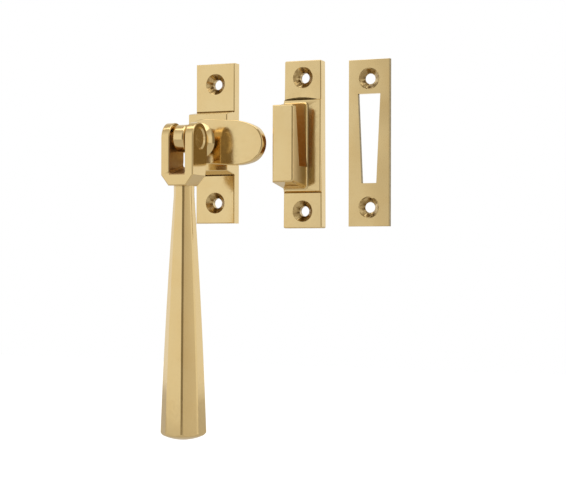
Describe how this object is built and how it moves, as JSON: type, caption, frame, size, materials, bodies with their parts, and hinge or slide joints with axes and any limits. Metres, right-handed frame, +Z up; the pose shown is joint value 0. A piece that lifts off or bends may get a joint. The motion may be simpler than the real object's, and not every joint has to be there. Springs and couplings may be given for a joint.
{
  "type": "casement window fastener",
  "caption": "Casement window fastener: a screw plate with a turning tongue and a folding drop handle, with a hook plate and a mortice plate that take the tongue.",
  "frame": {"origin": "on the spindle's axis, at the back face of the fastener's plate", "axes": "+Z up the plates and against the handle's length, +Y into the wood that the plates are screwed to, +X from the fastener to its two keeps"},
  "size_m": [0.0726, 0.035, 0.1313],
  "materials": {
    "polished_brass": "polished",
    "rivet_brass": "satin",
    "inner_brass": "turned",
    "spring_bronze": "rolled"
  },
  "bodies": {
    "base": {"backplate": "polished_brass", "thrust_washer": "inner_brass", "spring_washer": "spring_bronze", "hook_plate": "polished_brass", "mortice_plate": "polished_brass"},
    "nose": {"spindle": "inner_brass", "rivet_washer": "inner_brass", "tongue": "polished_brass"},
    "drop_handle": {"handle": "polished_brass", "hinge_pin": "rivet_brass"}
  },
  "joints": [
    {"name": "spindle_turn", "type": "hinge", "parent": "base", "child": "nose", "pos_m": [0, 0, 0], "axis": [0, 1, 0], "continuous": true},
    {"name": "handle_fold", "type": "hinge", "parent": "nose", "child": "drop_handle", "pos_m": [0, -0.0277, 0], "axis": [-1, 0, 0], "range_deg": [-8, 180]}
  ]
}
